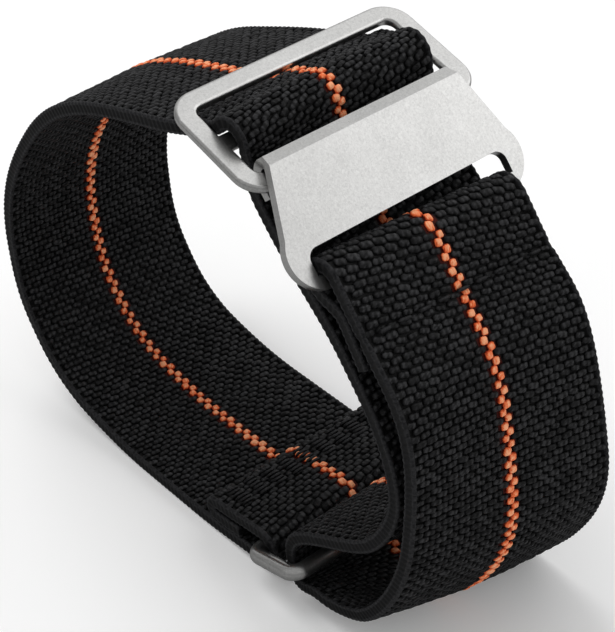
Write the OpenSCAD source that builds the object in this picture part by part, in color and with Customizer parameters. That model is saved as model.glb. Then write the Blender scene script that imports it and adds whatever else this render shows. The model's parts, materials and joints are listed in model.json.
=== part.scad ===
// Elastic nylon watch strap, closed into a loop, with a hook-and-frame clasp.
// One length of webbing runs from the adjuster ring at the bottom, up the left side,
// over the centre bar of the slide frame, down inside the right side, round the ring
// again and up the outside to the hook plate, which catches the slide frame.
// X runs along the strap at the top, Y across its width, and Z is up.
// The origin is at the middle of the footprint, on the surface that the loop stands on.

/* [Webbing] */
// Width of the webbing
webbing_w = 20; // [18:0.5:24]
// Thickness of the webbing at its woven edges
webbing_t = 1.3; // [1.1:0.05:1.4]
// Width of the smooth woven edge on each side
edge_w = 0.9; // [0.6:0.1:1.4]
// How far the ribbed middle lies below the woven edges on each face
middle_dip = 0.05; // [0.02:0.01:0.1]
// Width of the orange stripe along the middle
stripe_w = 1.9; // [1.2:0.1:3]
// Depth of the stripe's yarns in each face
stripe_depth = 0.2; // [0.1:0.05:0.35]

/* [Loop] */
// Width of the closed loop along X, outside to outside
loop_w = 62; // [58:1:70]
// Height of the widest place on the left side
left_widest_z = 17; // [14:0.5:20]
// Height of the widest place on the right side
right_widest_z = 17.5; // [15:0.5:20]
// Gap between the inner run and the outer run where they lie closest
run_gap = 1.05; // [0.6:0.05:1.6]
// Length of the flat that the loop stands on
foot_len = 8; // [5:0.5:12]

/* [Slide frame] */
// Distance of the frame's centre bar from the middle of the loop
frame_x = 9.3; // [6:0.1:12]
// Height of the frame's centre bar
frame_z = 45.95; // [44:0.1:52]
// Slope of the frame, down towards the hook
frame_tilt = 17; // [12:0.5:20]
// Distance from the centre bar to each outer bar
bar_pitch = 5; // [4.8:0.05:5.4]
// Width of the outer bars and side rails
frame_bar_w = 1.8; // [1.6:0.1:2.2]
// Width of the centre bar and of the catch bar that the hook holds
thin_bar_w = 1.6; // [1.3:0.05:1.7]
// Thickness of the frame
frame_t = 0.8; // [0.7:0.05:1.1]
// Outer corner radius of the frame
frame_corner_r = 2.6; // [2.2:0.1:3.2]
// Rounding of every edge of the frame
edge_r = 0.3; // [0.15:0.05:0.35]

/* [Hook plate] */
// Slope of the hook plate, down towards the outer side
hook_tilt = 50.5; // [46:0.5:54]
// Thickness of the hook plate
plate_t = 0.9; // [0.9:0.05:1.2]
// Thickness of the bent lip and tongue
lip_t = 0.85; // [0.75:0.05:1]
// Distance from the catch bar to the bar in the hook plate that the webbing is sewn round
plate_reach = 8.65; // [8.2:0.05:10]
// Width of that sewn bar
sewn_bar_w = 1.3; // [1.1:0.05:1.6]
// Length of the slot that the webbing passes through
slot_len = 2.1; // [2:0.05:2.6]
// Width of the side rails beside the slot
plate_rail_w = 1.8; // [1.5:0.1:2.4]
// How far the lip's ends lie inside the edges of the webbing
lip_inset = 0.55; // [0:0.05:0.6]
// Corner radius at the hook plate's outer end
plate_corner_r = 3; // [2:0.1:3.6]
// Width of the chamfer along the lip
lip_chamfer = 0.85; // [0.5:0.05:0.85]
// How far the tongue reaches under the catch bar
tongue_len = 1.2; // [0.8:0.05:1.4]

/* [Adjuster ring] */
// Distance of the ring's sewn bar from the middle of the loop
ring_x = 9.5; // [8:0.1:11]
// Height of the ring's sewn bar
ring_z = 3; // [2.9:0.05:3.6]
// Slope of the ring, up towards the right
ring_tilt = 15; // [10:0.5:20]
// Diameter of the ring's wire
wire_d = 1.5; // [1.3:0.05:1.6]
// Distance between the ring's two long bars
ring_len = 6.2; // [5.8:0.05:6.8]
// Bend radius of the ring's corners, at the middle of the wire
ring_bend_r = 1.1; // [0.9:0.05:1.3]

/* [Sewing] */
// Length of the folded tab at the ring, from the ring's bar to its hem
ring_tab_len = 7; // [6:0.25:9]
// Length of the hem that is turned under at the ring tab's end
hem_len = 3.6; // [2.5:0.1:4.5]
// Length of the folded tab at the hook plate
hook_tab_len = 7.6; // [6.5:0.1:9]
// Distance from the hook tab's end back to its seam
hook_seam_inset = 2.6; // [1.5:0.1:3.5]
// Length of one stitch
stitch_len = 1.5; // [1:0.1:2]
// Gap between stitches in a row
stitch_gap = 0.5; // [0.3:0.1:1]
// Width of the sewing thread
thread_w = 0.45; // [0.3:0.05:0.6]

/* [Fits] */
// Play of the webbing in the slots and inside the ring, on each side
side_play = 0.25; // [0.15:0.05:0.4]
// Play between a bar and the webbing folded round it
fold_play = 0.15; // [0.1:0.05:0.25]
// Play between the layers where the hem is turned under
hem_play = 0.3; // [0.2:0.05:0.4]
// Play between the catch bar's corners and the hook's channel
channel_play = 0.3; // [0.3:0.02:0.36]
// Gap at the joint between webbing that moves and webbing that stays
joint_gap = 0.3; // [0.2:0.05:0.5]

/* [Hidden] */

black = [0.05, 0.05, 0.055];
orange = [0.95, 0.36, 0.08];
steel = [0.78, 0.78, 0.77];
thread_black = [0.09, 0.09, 0.1];

$fn = 48;
half_t = webbing_t / 2;
clear_of_all = 100;
bend_step = 6;
hem_step = 15;
least_step = 0.05;
corner_sides = 5;

// Unit vector of a heading, and the unit vector to the left of it
function along(a) = [cos(a), sin(a)];
function left_of(a) = [-sin(a), cos(a)];

// A station is [x, z, heading]. Each pair is joined by a cubic curve whose handles
// are those of a circular arc that turns as far.
function turn_between(a, b) = abs(b[2] - a[2]);
function handle(a, b) = let (chord = norm([b[0] - a[0], b[1] - a[1]]), turn = max(turn_between(a, b), 1))
    chord * (2 / 3) * tan(turn / 4) / sin(turn / 2);
function curve_steps(a, b) = max(4, ceil(turn_between(a, b) / bend_step));
function curve_point(a, b, s) = let (h = handle(a, b), p = [a[0], a[1]], q = [b[0], b[1]])
    p * pow(1 - s, 3) + (p + along(a[2]) * h) * 3 * s * pow(1 - s, 2)
    + (q - along(b[2]) * h) * 3 * s * s * (1 - s) + q * pow(s, 3);
function curve_heading(a, b, s) = let (h = handle(a, b), p = [a[0], a[1]], q = [b[0], b[1]],
        p1 = p + along(a[2]) * h, p2 = q - along(b[2]) * h,
        d = (p1 - p) * pow(1 - s, 2) + (p2 - p1) * 2 * s * (1 - s) + (q - p2) * s * s,
        raw = atan2(d[1], d[0]), near = a[2] + (b[2] - a[2]) * s)
    raw + 360 * round((near - raw) / 360);
// Samples of a route as [point, heading], with no sample twice
function route(stations) = [
    for (i = [0 : len(stations) - 2])
        let (a = stations[i], b = stations[i + 1], n = curve_steps(a, b))
            for (k = [0 : n - (i < len(stations) - 2 ? 1 : 0)])
                [curve_point(a, b, k / n), k == 0 ? a[2] : k == n ? b[2] : curve_heading(a, b, k / n)]];
// Samples of a route that bends round a centre
function arc(centre, r, from, sweep, step) = let (n = ceil(sweep / step))
    [for (k = [0 : n]) let (a = from + sweep * k / n) [centre + along(a) * r, a + 90]];
function joined(a, b) = concat(a, [for (i = [1 : len(b) - 1]) b[i]]);
// The line that lies a distance to the left of a route
function beside(samples, d) = [for (s = samples) s[0] + left_of(s[1]) * d];
function reversed(list) = [for (i = [len(list) - 1 : -1 : 0]) list[i]];
// A layer that runs back along a route, a distance to its left
function layer_beside(samples, d) = [for (s = reversed(samples)) [s[0] + left_of(s[1]) * d, s[1] - 180]];
function route_length(s) = len(s) < 2 ? 0 : norm(s[1][0] - s[0][0]) + route_length([for (i = [1 : len(s) - 1]) s[i]]);
// Point and heading at a length along a route
function on_route(s, d, i = 0) = let (step = norm(s[i + 1][0] - s[i][0]))
    d <= step || i >= len(s) - 2 ? [s[i][0] + (s[i + 1][0] - s[i][0]) * (d / step),
        s[i][1] + (s[i + 1][1] - s[i][1]) * (d / step)] : on_route(s, d - step, i + 1);
// The part of a route between two lengths along it, which keeps the route's own ends
function length_to(s, i) = route_length([for (k = [0 : i]) s[k]]);
function part_of_route(s, d0, d1) = let (last = len(s) - 1, total = length_to(s, last)) concat(
    [d0 <= 0 ? s[0] : on_route(s, d0)],
    [for (i = [1 : last - 1]) let (d = length_to(s, i)) if (d > d0 + least_step && d < d1 - least_step) s[i]],
    [d1 >= total ? s[last] : on_route(s, d1)]);

// A wall drawn in X and Z, from d0 to d1 beside a route, with its width along Y
module across(w, y = 0) translate([0, y + w / 2, 0]) rotate([90, 0, 0]) linear_extrude(w) children();
module wall(samples, d0, d1, w, y = 0)
    across(w, y) polygon(concat(beside(samples, d0), reversed(beside(samples, d1))));

// Webbing along a route: the ribbed middle, grooved for the stripe, and two woven edges
module webbing(samples) {
    middle_w = webbing_w - 2 * edge_w;
    side_w = (middle_w - stripe_w) / 2;
    for (side = [-1, 1]) {
        wall(samples, -half_t + middle_dip, half_t - middle_dip, side_w, side * (stripe_w + side_w) / 2);
        wall(samples, -half_t, half_t, edge_w, side * (webbing_w - edge_w) / 2);
    }
    wall(samples, -half_t + stripe_depth, half_t - stripe_depth, stripe_w);
}
module stripe(samples) for (side = [-1, 1])
    wall(samples, side * (half_t - stripe_depth), side * half_t, stripe_w);

// Webbing bent round a bar: a true half tube, and more or less of it
module bent(centre, r, from, sweep, w, y = 0, d0 = -half_t, d1 = half_t)
    translate([centre[0], y + w / 2, centre[1]]) rotate([90, 0, 0])
        rotate([0, 0, from]) rotate_extrude(angle = sweep) translate([r + d0, 0]) square([d1 - d0, w]);
module webbing_bend(centre, r, from, sweep) {
    middle_w = webbing_w - 2 * edge_w;
    side_w = (middle_w - stripe_w) / 2;
    for (side = [-1, 1]) {
        bent(centre, r, from, sweep, side_w, side * (stripe_w + side_w) / 2,
            -half_t + middle_dip, half_t - middle_dip);
        bent(centre, r, from, sweep, edge_w, side * (webbing_w - edge_w) / 2);
    }
    bent(centre, r, from, sweep, stripe_w, 0, -half_t + stripe_depth, half_t - stripe_depth);
}
module stripe_bend(centre, r, from, sweep) {
    bent(centre, r, from, sweep, stripe_w, 0, half_t - stripe_depth, half_t);
    bent(centre, r, from, sweep, stripe_w, 0, -half_t, -half_t + stripe_depth);
}

// Places of the hardware
frame_at = [frame_x, frame_z];
catch_at = frame_at + along(-frame_tilt) * bar_pitch;
catch_half = norm([thin_bar_w / 2 - edge_r, frame_t / 2 - edge_r]) + edge_r;
channel_r = catch_half + channel_play;
plate_mid = channel_r + plate_t / 2;
sewn_at = catch_at + along(-hook_tilt) * plate_reach + left_of(-hook_tilt) * plate_mid;
sewn_half = norm([sewn_bar_w / 2, plate_t / 2]);
ring_at = [ring_x, ring_z];
ring_far_at = ring_at + along(ring_tilt) * ring_len;

// Widths that the hardware shares
window_w = webbing_w + 2 * side_play;
rail_y = (window_w + frame_bar_w) / 2;
corner_mid_r = frame_corner_r - frame_bar_w / 2;
bar_span = 2 * (rail_y - corner_mid_r);
lip_w = webbing_w - 2 * lip_inset;
tongue_w = bar_span - 2 * side_play;
plate_w = window_w + 2 * plate_rail_w;

// Radii of the webbing's middle round each bar
hump_r = catch_half + 0.2 + half_t;
hook_fold_r = sewn_half + fold_play / 2 + half_t;
ring_fold_r = wire_d / 2 + fold_play + half_t;

// Route of the left run: from the ring, along the floor, up the left side to the frame
ring_entry = 5;
foot_x = -5;
foot_lift = half_t;
hump_at = frame_at + [0, 0.15];
hump_start = 126;
left_x = -loop_w / 2 + half_t;
under_frame = [frame_x - 6, frame_z - 1.1, 17];
ring_start = ring_at + [sin(ring_entry), -cos(ring_entry)] * ring_fold_r;
left_route = route([
    [ring_start[0], ring_start[1], 180 + ring_entry],
    [foot_x + foot_len / 2, foot_lift, 180],
    [foot_x - foot_len / 2, foot_lift, 180],
    [left_x + 3.75, left_widest_z - 9.5, 124],
    [left_x, left_widest_z, 90],
    [left_x + 8.3, frame_z - 12.65, 49],
    [left_x + 13, frame_z - 8.45, 34],
    under_frame]);

// Over the frame's centre bar: under the left bar, over the hump and down again
hump_first = hump_at + along(hump_start) * hump_r;
rise_route = route([
    under_frame,
    [hump_first[0], hump_first[1], hump_start - 90]]);
hump_end = [hump_at[0] + hump_r, hump_at[1], -90];

// Inner run: past the hook's tongue, down inside the right side, and back in to the ring
right_x = loop_w / 2 - half_t;
inner_x = right_x - webbing_t - run_gap;
turn_top = [ring_far_at[0] + 2.4, ring_far_at[1] + 5.2, -150];
inner_route = route([
    hump_end,
    [catch_at[0] - 2.75, catch_at[1] - 1.1, -84],
    [catch_at[0] - 0.75, catch_at[1] - 4.15, -46],
    [catch_at[0] + 8.5, catch_at[1] - 12.5, -47],
    [inner_x - 1.6, right_widest_z + 9.7, -62],
    [inner_x, right_widest_z + 3.8, -90],
    [inner_x - 1.1, right_widest_z - 0.2, -116],
    [inner_x - 4.3, right_widest_z - 4.3, -142],
    turn_top]);

// Round the ring's far bar, and the flat under it
turn_left_x = ring_far_at[0] - wire_d / 2 - fold_play - 0.35 - half_t;
turn_end = [ring_far_at[0] + 2, half_t, 0];
turn_route = route([
    turn_top,
    [turn_left_x, ring_far_at[1] + 0.7, -90],
    turn_end]);

// Outer run: up the outside of the right side to the hook plate's sewn bar
hook_entry = 128;
hook_last = sewn_at + [sin(hook_entry), -cos(hook_entry)] * hook_fold_r;
tab_first = sewn_at * 2 - hook_last;
outer_full = route([
    [turn_end[0], turn_end[1], 0],
    [turn_end[0] + 1.5, turn_end[1], 0],
    [right_x - 3.15, right_widest_z - 10.1, 60],
    [right_x, right_widest_z, 90],
    [right_x - 1.2, right_widest_z + 9.1, 104],
    [right_x - 3.8, right_widest_z + 15.2, 123],
    [hook_last[0], hook_last[1], hook_entry]]);
outer_len = route_length(outer_full);
split_margin = 1.6;
split_len = outer_len - hook_tab_len - split_margin;
outer_route = part_of_route(outer_full, 0, split_len - joint_gap);
fold_route = part_of_route(outer_full, split_len, outer_len);
fold_and_bend = joined(fold_route, arc(sewn_at, hook_fold_r, hook_entry - 90, 180, bend_step));

// Hook tab: back from the sewn bar to lie against the outer run's inner face
fold_len = route_length(fold_route);
lie_len = fold_len - hook_tab_len * 0.45;
tab_lie_at = on_route(fold_route, lie_len);
tab_lie = tab_lie_at[0] + left_of(tab_lie_at[1]) * webbing_t;
hook_tab_flat = layer_beside(part_of_route(fold_route, fold_len - hook_tab_len, lie_len), webbing_t);
hook_tab_route = joined(route([
    [tab_first[0], tab_first[1], hook_entry - 180],
    [tab_lie[0], tab_lie[1], tab_lie_at[1] - 180]]), hook_tab_flat);

// Ring tab: back from the ring, over its own turned-under hem, on the left run's inner face
hem_far = on_route(left_route, ring_tab_len);
hem_rise = 2 * webbing_t + hem_play;
hem_r = half_t + hem_play / 2;
tab_top = hem_far[0] - left_of(hem_far[1]) * hem_rise;
ring_tab_first = ring_at - [sin(ring_entry), -cos(ring_entry)] * ring_fold_r;
ring_tab_route = route([
    [ring_tab_first[0], ring_tab_first[1], 180 + ring_entry],
    [tab_top[0], tab_top[1], hem_far[1]]]);
hem_route = layer_beside(part_of_route(left_route, ring_tab_len - hem_len, ring_tab_len), -webbing_t);
hem_bend_at = hem_far[0] - left_of(hem_far[1]) * (hem_rise - hem_r);
tab_and_hem = joined(joined(ring_tab_route, arc(hem_bend_at, hem_r, hem_far[1] - 90, 180, hem_step)), hem_route);

module left_run() color(black) webbing(left_route);
module left_run_stripe() color(orange) stripe(left_route);

module frame_pass() color(black) {
    webbing(rise_route);
    webbing_bend(hump_at, hump_r, 0, hump_start);
}
module frame_pass_stripe() color(orange) {
    stripe(rise_route);
    stripe_bend(hump_at, hump_r, 0, hump_start);
}

module inner_run() color(black) webbing(inner_route);
module inner_run_stripe() color(orange) stripe(inner_route);
module bottom_turn() color(black) webbing(turn_route);
module bottom_turn_stripe() color(orange) stripe(turn_route);
module outer_run() color(black) webbing(outer_route);
module outer_run_stripe() color(orange) stripe(outer_route);

// The end sewn round the hook plate: the outer layer and the bend, then the tab inside
module hook_fold() color(black) webbing(fold_and_bend);
module hook_fold_stripe() color(orange) stripe(fold_and_bend);
module hook_tab() color(black) webbing(hook_tab_route);
module hook_tab_stripe() color(orange) stripe(hook_tab_route);

// The end sewn round the ring: the bend round its wire, then the tab with its hem
module ring_fold() color(black) webbing_bend(ring_at, ring_fold_r, ring_entry - 90, 180);
module ring_fold_stripe() color(orange) stripe_bend(ring_at, ring_fold_r, ring_entry - 90, 180);
module ring_tab() color(black) webbing(tab_and_hem);
module ring_tab_stripe() color(orange) stripe(tab_and_hem);

// A row of stitches across the webbing, lying on the face a distance beside a route
module stitch_row(at, d) {
    pitch = stitch_len + stitch_gap;
    count = floor((webbing_w - 2 * edge_w) / pitch);
    face = at[0] + left_of(at[1]) * d;
    for (i = [0 : count - 1])
        translate([face[0], (i - (count - 1) / 2) * pitch, face[1]]) rotate([0, -at[1], 0])
            cube([thread_w, stitch_len, thread_w / 2], center = true);
}
seam_lift = half_t + thread_w / 4;
module hook_seam() color(thread_black) {
    stitch_row(on_route(fold_route, fold_len - hook_tab_len + hook_seam_inset), -seam_lift);
    stitch_row(on_route(fold_route, fold_len - hook_tab_len + hook_seam_inset), webbing_t + seam_lift);
}
module ring_seam() color(thread_black) for (row = [0, 1]) {
    inset = ring_tab_len - hem_len * (row + 1) / 3;
    stitch_row(on_route(left_route, inset), seam_lift);
    stitch_row(on_route(ring_tab_route, inset), -seam_lift);
}

// Rounded rectangle as a bar's section, by a formula
function bar_section(w, t, r) = [
    for (corner = [0 : 3]) for (k = [0 : corner_sides - 1])
        let (a = corner * 90 + k * 90 / (corner_sides - 1),
            sx = corner == 0 || corner == 3 ? 1 : -1, sy = corner < 2 ? 1 : -1)
        [sx * (w / 2 - r) + r * cos(a), sy * (t / 2 - r) + r * sin(a)]];

// Straight bar along Y, centred at u along the frame
module cross_bar(u, w, span) translate([u, 0, 0]) rotate([90, 0, 0])
    linear_extrude(span, center = true) polygon(bar_section(w, frame_t, edge_r));

// Three-bar slide frame: two outer bars, two side rails with rounded corners, centre bar
module slide_frame() color(steel) translate([frame_at[0], 0, frame_at[1]]) rotate([0, frame_tilt, 0]) {
    cross_bar(-bar_pitch, frame_bar_w, bar_span);
    cross_bar(bar_pitch, thin_bar_w, bar_span);
    cross_bar(0, thin_bar_w, 2 * rail_y);
    for (side = [-1, 1]) {
        translate([0, side * rail_y, 0]) rotate([90, 0, 90])
            linear_extrude(2 * (bar_pitch - corner_mid_r), center = true)
                polygon(bar_section(frame_bar_w, frame_t, edge_r));
        for (end = [-1, 1])
            translate([end * (bar_pitch - corner_mid_r), side * (rail_y - corner_mid_r), 0])
                rotate([0, 0, end > 0 ? (side > 0 ? 0 : -90) : (side > 0 ? 90 : 180)])
                    rotate_extrude(angle = 90) translate([corner_mid_r, 0])
                        polygon(bar_section(frame_bar_w, frame_t, edge_r));
    }
}

// Hook plate, drawn with its channel's axis at the origin and its face upwards
plate_end_u = plate_reach + sewn_bar_w / 2;
plate_top = channel_r + plate_t;
lip_front = channel_r + lip_t;
// Section of the flat plate, with the chamfer along its lip
module plate_section() polygon([[-lip_front, channel_r], [-lip_front, plate_top - lip_chamfer],
    [-lip_front + lip_chamfer, plate_top], [plate_end_u, plate_top], [plate_end_u, channel_r]]);
// Section of the hook under it: the leg, the bend and the tongue round the channel
module hook_section() difference() {
    union() {
        circle(lip_front);
        polygon([[-lip_front, 0], [-lip_front, plate_top - lip_chamfer], [-lip_front + lip_chamfer, plate_top],
            [0, plate_top], [0, 0]]);
        translate([0, -lip_front]) square([tongue_len, lip_front]);
    }
    circle(channel_r);
    translate([0, -channel_r]) square([clear_of_all, 2 * channel_r]);
    translate([tongue_len, -2 * lip_front]) square([clear_of_all, 4 * lip_front]);
}
module plate_plan() {
    r = plate_corner_r;
    difference() {
        union() {
            polygon([[-lip_front, -lip_w / 2], [plate_end_u - r, -plate_w / 2],
                [plate_end_u - r, plate_w / 2], [-lip_front, lip_w / 2]]);
            translate([plate_end_u - r - 0.01, -plate_w / 2 + r]) square([r + 0.01, plate_w - 2 * r]);
            for (side = [-1, 1]) translate([plate_end_u - r, side * (plate_w / 2 - r)]) circle(r);
        }
        slot_r = slot_len * 0.45;
        slot_u = plate_end_u - sewn_bar_w;
        translate([slot_u - slot_len, -window_w / 2 + slot_r]) square([slot_len, window_w - 2 * slot_r]);
        translate([slot_u - slot_len + slot_r, -window_w / 2]) square([slot_len - slot_r, window_w]);
        for (side = [-1, 1]) translate([slot_u - slot_len + slot_r, side * (window_w / 2 - slot_r)]) circle(slot_r);
    }
}
module hook_plate() color(steel) translate([catch_at[0], 0, catch_at[1]]) rotate([0, hook_tilt, 0]) {
    intersection() {
        across(clear_of_all) plate_section();
        linear_extrude(clear_of_all) plate_plan();
    }
    across(tongue_w) hook_section();
}

// Adjuster ring, bent from round wire
module adjuster_ring() color(steel) translate([ring_at[0], 0, ring_at[1]]) rotate([0, -ring_tilt, 0]) {
    half_w = webbing_w / 2 + side_play + wire_d / 2;
    for (u = [0, ring_len]) translate([u, 0, 0]) rotate([90, 0, 0])
        cylinder(h = 2 * (half_w - ring_bend_r), d = wire_d, center = true);
    for (side = [-1, 1]) {
        translate([ring_bend_r, side * half_w, 0]) rotate([0, 90, 0])
            cylinder(h = ring_len - 2 * ring_bend_r, d = wire_d);
        for (end = [0, 1])
            translate([end ? ring_len - ring_bend_r : ring_bend_r, side * (half_w - ring_bend_r), 0])
                rotate([0, 0, end ? (side > 0 ? 0 : -90) : (side > 0 ? 90 : 180)])
                    rotate_extrude(angle = 90) translate([ring_bend_r, 0]) circle(d = wire_d);
    }
}

left_run();
left_run_stripe();
frame_pass();
frame_pass_stripe();
inner_run();
inner_run_stripe();
bottom_turn();
bottom_turn_stripe();
outer_run();
outer_run_stripe();
hook_fold();
hook_fold_stripe();
hook_tab();
hook_tab_stripe();
ring_fold();
ring_fold_stripe();
ring_tab();
ring_tab_stripe();
hook_seam();
ring_seam();
slide_frame();
hook_plate();
adjuster_ring();
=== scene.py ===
# %% [markdown]
# # A nylon watch strap in Blender
# The strap is one long webbing, threaded through three pieces of steel. The construction gives
# the steel and the route of the webbing at their real size. This lesson dresses them: it weaves
# the webbing yarn by yarn along its route, sews its two ends, and finishes the steel.
# All sizes are written in millimetres and turned into metres where a mesh is made.

# %% Load the construction
import json
import math

import bmesh
import bpy
from mathutils import Matrix, Vector

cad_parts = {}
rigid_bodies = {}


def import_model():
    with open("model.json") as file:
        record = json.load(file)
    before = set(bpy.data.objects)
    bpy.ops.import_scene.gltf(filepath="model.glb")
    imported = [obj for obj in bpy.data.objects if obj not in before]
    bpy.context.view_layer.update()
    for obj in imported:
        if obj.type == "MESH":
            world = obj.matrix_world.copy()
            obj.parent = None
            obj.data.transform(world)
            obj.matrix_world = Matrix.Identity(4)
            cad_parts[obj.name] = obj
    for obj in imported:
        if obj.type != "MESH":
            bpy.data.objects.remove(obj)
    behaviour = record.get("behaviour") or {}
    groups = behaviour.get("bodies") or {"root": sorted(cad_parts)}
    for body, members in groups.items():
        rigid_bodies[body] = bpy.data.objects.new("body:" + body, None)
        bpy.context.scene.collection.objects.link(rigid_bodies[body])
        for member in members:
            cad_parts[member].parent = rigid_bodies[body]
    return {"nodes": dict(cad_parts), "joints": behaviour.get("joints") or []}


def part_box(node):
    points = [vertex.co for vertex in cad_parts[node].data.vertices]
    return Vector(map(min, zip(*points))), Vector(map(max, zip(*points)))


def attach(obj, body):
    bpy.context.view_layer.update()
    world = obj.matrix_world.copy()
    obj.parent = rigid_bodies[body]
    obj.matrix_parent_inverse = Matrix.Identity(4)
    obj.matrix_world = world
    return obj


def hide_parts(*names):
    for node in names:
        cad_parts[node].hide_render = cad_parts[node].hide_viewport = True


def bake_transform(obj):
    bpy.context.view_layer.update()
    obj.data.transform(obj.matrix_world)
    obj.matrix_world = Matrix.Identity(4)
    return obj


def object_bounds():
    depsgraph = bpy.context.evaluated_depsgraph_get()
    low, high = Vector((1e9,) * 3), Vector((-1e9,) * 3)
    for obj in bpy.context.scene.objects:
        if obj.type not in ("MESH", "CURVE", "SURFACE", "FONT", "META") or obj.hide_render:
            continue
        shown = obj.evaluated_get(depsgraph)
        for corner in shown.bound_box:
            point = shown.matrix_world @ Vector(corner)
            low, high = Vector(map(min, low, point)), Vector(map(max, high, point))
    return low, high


for leftover in list(bpy.data.objects):
    bpy.data.objects.remove(leftover)
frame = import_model()
cad_low, cad_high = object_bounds()
MM = 0.001
print("construction box", [round(v / MM, 2) for v in (*cad_low, *cad_high)])

# %% [markdown]
# ## The camera
# The picture was taken from the right and above, from close by, with a long lens. An aim point,
# two angles, a distance and a small roll describe that better than a bare position would.

# %% Camera
VIEW_AZIMUTH = 52.47
VIEW_ELEVATION = 37.34
VIEW_ROLL = -3.98
VIEW_DISTANCE = 165.4
VIEW_AIM = Vector((5.67, 0, 22.1))
LENS = 109.36
SENSOR_WIDTH = 36
CLIP_NEAR = 0.01
CLIP_FAR = 10


def towards(azimuth, elevation):
    """The way to a place at two angles in degrees. At azimuth 0 it is in front, on the -Y side."""
    a, e = math.radians(azimuth), math.radians(elevation)
    return Vector((math.sin(a) * math.cos(e), -math.cos(a) * math.cos(e), math.sin(e)))


def new_object(name, data):
    made = bpy.data.objects.new(name, data)
    bpy.context.scene.collection.objects.link(made)
    return made


def set_up_camera():
    back = towards(VIEW_AZIMUTH, VIEW_ELEVATION)
    right = towards(VIEW_AZIMUTH + 90, 0)
    up = back.cross(right)
    roll = math.radians(VIEW_ROLL)
    tilted_right = right * math.cos(roll) + up * math.sin(roll)
    tilted_up = back.cross(tilted_right)
    data = bpy.data.cameras.new("camera")
    data.sensor_fit = "HORIZONTAL"
    data.sensor_width = SENSOR_WIDTH
    data.lens = LENS
    data.clip_start = CLIP_NEAR
    data.clip_end = CLIP_FAR
    place = Matrix((tilted_right, tilted_up, back)).transposed().to_4x4()
    place.translation = (VIEW_AIM + back * VIEW_DISTANCE) * MM
    camera = new_object("camera", data)
    camera.matrix_world = place
    bpy.context.scene.camera = camera
    return camera


camera = set_up_camera()
print("camera at", [round(v / MM, 1) for v in camera.location])

# %% [markdown]
# ## Writing node trees
# The light, the finishes and the webbing are all node trees, and every tree here is written out
# in code. A rule such as a * b + c would take a line for each Math node, so an Amount stands for
# a number inside a tree, and each sign used on it adds the Math node. What is left is a helper
# that adds any other node, and one for the smooth passage that soft things and soft light need.

# %% Helpers for node trees
class Amount:
    """A number inside a node tree. Each sign used on it adds one Math node."""

    def __init__(self, socket):
        self.socket = socket
        self.tree = socket.id_data

    def __add__(self, other):
        return calc("ADD", self, other)

    def __sub__(self, other):
        return calc("SUBTRACT", self, other)

    def __rsub__(self, other):
        return calc("MULTIPLY_ADD", self, -1.0, other)

    def __mul__(self, other):
        return calc("MULTIPLY", self, other)

    def __truediv__(self, other):
        return calc("DIVIDE", self, other)


def feed(socket, value):
    """Gives an input a fixed value, or joins it to what another node puts out."""
    if isinstance(value, Amount):
        value = value.socket
    if isinstance(value, bpy.types.NodeSocket):
        socket.id_data.links.new(value, socket)
    else:
        socket.default_value = value


def add(tree, kind, feeds, **settings):
    """Adds a node, sets it, feeds its inputs and returns its outputs."""
    made = tree.nodes.new(kind)
    for setting, value in settings.items():
        setattr(made, setting, value)
    for socket, value in feeds.items():
        feed(made.inputs[socket], value)
    return made.outputs


def calc(operation, amount, *others):
    """Adds one Math node, also for what has no sign of its own."""
    feeds = dict(enumerate((amount, *others)))
    return Amount(add(amount.tree, "ShaderNodeMath", feeds, operation=operation)[0])


def passing(amount, start, end, low=0.0, high=1.0):
    """Goes smoothly from low to high while an amount goes from start to end."""
    feeds = {"Value": amount, "From Min": start, "From Max": end, "To Min": low, "To Max": high}
    return Amount(add(amount.tree, "ShaderNodeMapRange", feeds, interpolation_type="SMOOTHSTEP")[0])


def parts_of(tree, vector):
    return [Amount(part) for part in add(tree, "ShaderNodeSeparateXYZ", {0: vector})]


print("node tree helpers are ready")

# %% [markdown]
# ## The table
# A strap like this is photographed on a sweep of white paper. The floor is a pale sheet that
# takes the shadow. It glows a little towards the camera, because in the picture the paper is
# lit to a full white, and the steel mirrors it darker, as it mirrors the edge of a real sweep.

# %% Floor
FLOOR_SIZE = 4000
FLOOR_WHITE = (0.96, 0.96, 0.96, 1)
FLOOR_MIRRORED = (0.3, 0.3, 0.3, 1)
FLOOR_PALER = 0.11
PAPER_ROUGHNESS = 0.7
PAPER_GLOSS = 0.1


def new_material(name, **sockets):
    """A material, with its tree and its shader. Sockets are named with _ for a space."""
    material = bpy.data.materials.new(name)
    material.use_nodes = True
    shader = material.node_tree.nodes["Principled BSDF"]
    for socket, value in sockets.items():
        feed(shader.inputs[socket.replace("_", " ")], value)
    return material, material.node_tree, shader


def blended(tree, share, first, second):
    """The first colour where the share is 0, and the second where it is 1."""
    return add(tree, "ShaderNodeMix", {0: share, 6: first, 7: second}, data_type="RGBA")[2]


def lay_floor():
    half = FLOOR_SIZE / 2 * MM
    mesh = bpy.data.meshes.new("floor")
    corners = [(-half, -half, 0), (half, -half, 0), (half, half, 0), (-half, half, 0)]
    mesh.from_pydata(corners, [], [(0, 1, 2, 3)])
    floor = new_object("floor", mesh)
    paper, tree, shader = new_material("white paper", Roughness=PAPER_ROUGHNESS,
        Specular_IOR_Level=PAPER_GLOSS, Emission_Color=(1, 1, 1, 1))
    ray = add(tree, "ShaderNodeLightPath", {})
    feed(shader.inputs["Base Color"], blended(tree, ray["Is Glossy Ray"], FLOOR_WHITE, FLOOR_MIRRORED))
    feed(shader.inputs["Emission Strength"], Amount(ray["Is Camera Ray"]) * FLOOR_PALER)
    mesh.materials.append(paper)


lay_floor()
print("floor", FLOOR_SIZE, "mm square")

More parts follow.
